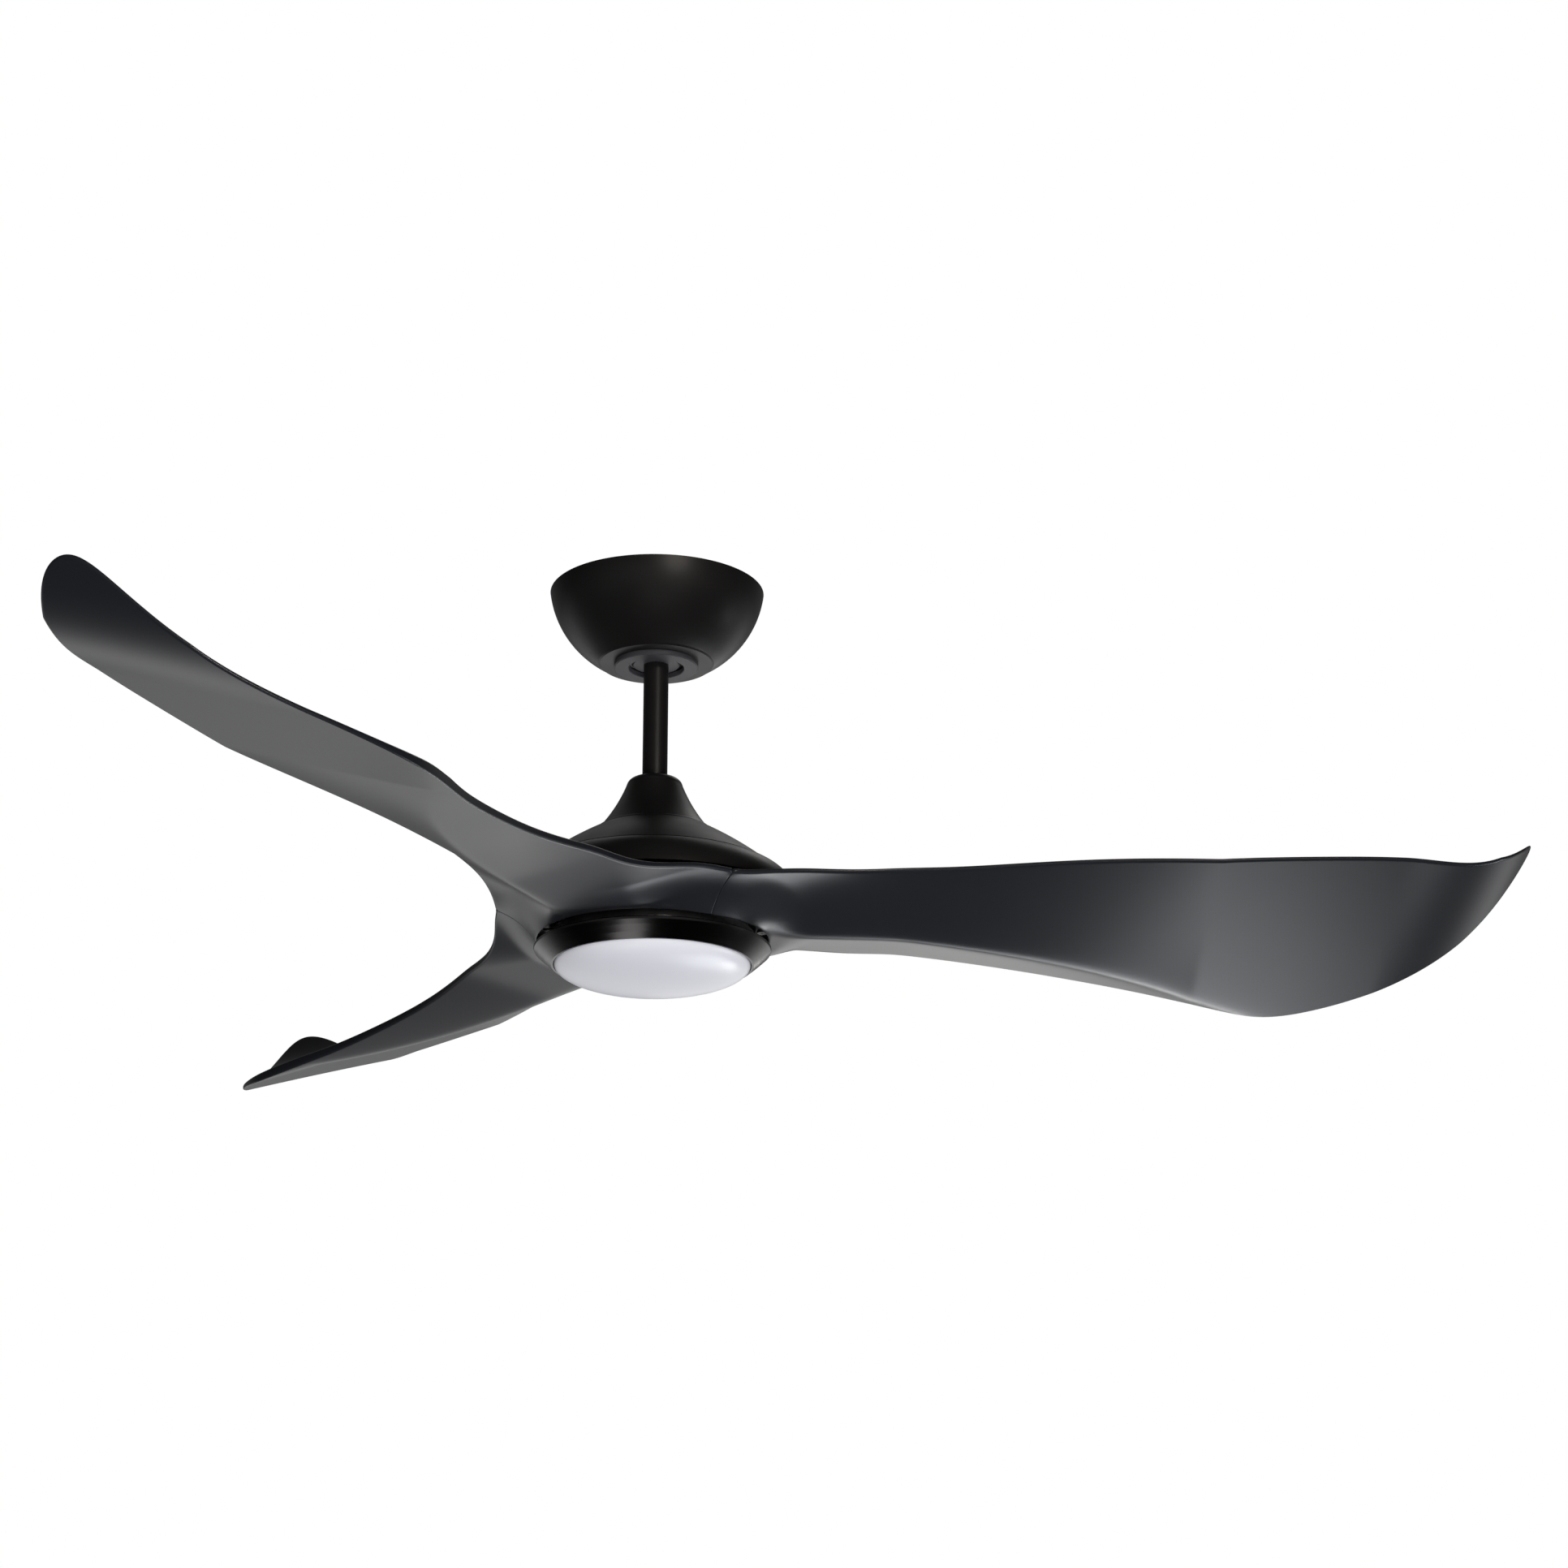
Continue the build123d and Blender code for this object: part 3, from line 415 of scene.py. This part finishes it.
def stage_floor():
    bpy.ops.mesh.primitive_circle_add(vertices=96, radius=FLOOR_RADIUS, fill_type="NGON",
                                      location=(0, 0, FLOOR_Z))
    floor = bpy.context.object
    floor.name = "floor"
    pale = finish("pale_floor", (0.20, 0.20, 0.20), (0.21, 0.21, 0.21), (0.7, 0.8),
                  Emission_Color=(0.74, 0.74, 0.74, 1), Emission_Strength=1.0)
    floor.data.materials.append(pale)
    floor.visible_diffuse = False
    floor.visible_glossy = False


def softbox(name, place, target, size, power, colour=(1, 1, 1)):
    data = bpy.data.lights.new(name, "AREA")
    data.shape = "RECTANGLE"
    data.size, data.size_y = size
    data.energy = power
    data.color = colour
    lamp = bpy.data.objects.new(name, data)
    bpy.context.scene.collection.objects.link(lamp)
    lamp.location = place
    lamp.rotation_euler = (Vector(target) - Vector(place)).to_track_quat("-Z", "Y").to_euler()
    return lamp


def studio_world():
    """White to the camera. To the object, a dim room that is brightest just under the far horizon."""
    world = bpy.data.worlds.new("studio")
    bpy.context.scene.world = world
    world.use_nodes = True
    tree = world.node_tree
    place = node(tree, "ShaderNodeTexCoord")
    parts = node(tree, "ShaderNodeSeparateXYZ")
    tree.links.new(place.outputs["Generated"], parts.inputs["Vector"])
    ramp = node(tree, "ShaderNodeValToRGB")
    ramp.color_ramp.elements[0].position = ROOM_LEVELS[0][0]
    ramp.color_ramp.elements[1].position = ROOM_LEVELS[-1][0]
    for position, _ in ROOM_LEVELS[1:-1]:
        ramp.color_ramp.elements.new(position)
    for element, (_, level) in zip(ramp.color_ramp.elements, ROOM_LEVELS):
        element.color = (level, level, level, 1)
    tree.links.new(spread(tree, parts.outputs["Z"], 0.0, 1.0, -1.0, 1.0), ramp.inputs["Fac"])
    far = spread(tree, parts.outputs["Y"], 0.12, 2.6, 0.3, 0.95)
    room = node(tree, "ShaderNodeBackground")
    tree.links.new(ramp.outputs["Color"], room.inputs["Color"])
    near = spread(tree, parts.outputs["Y"], 0.6, 0.0, -0.95, -0.3)
    both = node(tree, "ShaderNodeMath", operation="ADD")
    tree.links.new(far, both.inputs[0])
    tree.links.new(near, both.inputs[1])
    tree.links.new(both.outputs["Value"], room.inputs["Strength"])
    white = node(tree, "ShaderNodeBackground", Color=(1, 1, 1, 1), Strength=1.0)
    path = node(tree, "ShaderNodeLightPath")
    mix = node(tree, "ShaderNodeMixShader")
    tree.links.new(path.outputs["Is Camera Ray"], mix.inputs["Fac"])
    tree.links.new(room.outputs["Background"], mix.inputs[1])
    tree.links.new(white.outputs["Background"], mix.inputs[2])
    tree.links.new(mix.outputs["Shader"], tree.nodes["World Output"].inputs["Surface"])


def photo_camera():
    data = bpy.data.cameras.new("camera")
    data.sensor_width = 36.0
    data.lens = 76.98
    camera = bpy.data.objects.new("camera", data)
    bpy.context.scene.collection.objects.link(camera)
    camera.location = (0.0413, -2.7807, -1.119)
    camera.rotation_euler = (math.radians(90 + 18.69), 0, math.radians(-1.48))
    bpy.context.scene.camera = camera


stage_floor()
studio_world()
softbox("key_front", (0.95, -2.6, 0.15), (0, 0, -0.1), (0.35, 0.35), 12, (1.0, 0.92, 0.84))
softbox("side_right", (2.6, 0.4, -1.6), (0.2, 0, -0.2), (1.0, 1.0), 14, (0.93, 0.96, 1.0))
softbox("high_back", (1.0, 1.8, 1.8), (0, 0, -0.2), (0.9, 0.9), 3.5, (1.0, 0.98, 0.96))
softbox("low_back", (0.74, 1.6, -2.0), (0.5, 0, -0.3), (0.9, 0.8), 7, (0.93, 0.96, 1.0))
softbox("horizon_back", (0.5, 3.1, -0.5), (0.2, 0, -0.33), (1.1, 0.35), 1.5, (1.0, 0.98, 0.96))
softbox("under_left", (-0.5, -0.15, -2.4), (0, 0, -0.35), (0.9, 0.5), 2.2, (1.0, 1.0, 1.0))
softbox("lens_glint", (0.81, 1.92, -1.53), (0.07, 0, -0.35), (0.35, 0.30), 3, (1.0, 1.0, 1.0))
lens_fill = softbox("lens_fill", (0.2, -2.9, -2.4), (0, 0, -0.35), (2.2, 1.4), 104, (0.97, 0.98, 1.0))
lens_fill.visible_glossy = False
photo_camera()

view = bpy.context.scene.view_settings
view.view_transform = "Standard"
